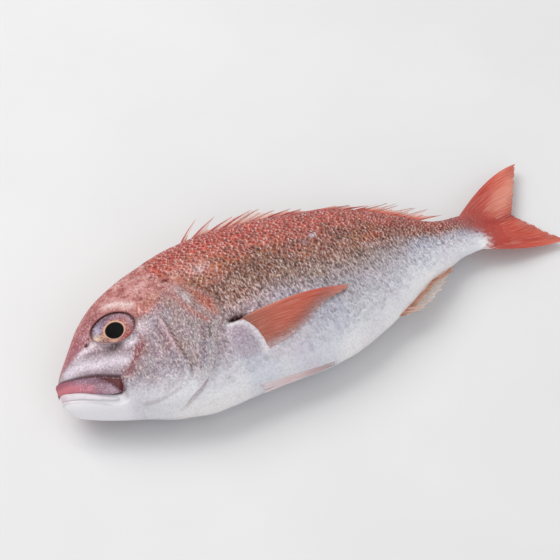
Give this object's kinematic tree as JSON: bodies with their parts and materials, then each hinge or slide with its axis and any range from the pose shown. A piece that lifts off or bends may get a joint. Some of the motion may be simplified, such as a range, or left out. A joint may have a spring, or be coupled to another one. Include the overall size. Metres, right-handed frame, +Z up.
{
  "type": "whole raw sea bream",
  "caption": "Whole raw fish lying on its side, with a deep body, forked tail, folded fins, gill cover, mouth and open eyes.",
  "frame": {"origin": "on the worktop, under the middle of the fish's bounding box", "axes": "+X from the snout to the tail, +Y from the belly to the back, +Z up, out of the fish's left flank"},
  "size_m": [0.3614, 0.1428, 0.0517],
  "materials": {
    "skin": "wet raw fish skin: silver flank and belly, crimson back with fine dark and bright scale flecks, salmon fins",
    "eye": "clear wet eye with a black pupil in a pale gold and pink iris"
  },
  "bodies": {
    "root": {"fish": "skin", "eye_left": "eye", "eye_right": "eye"}
  },
  "joints": []
}
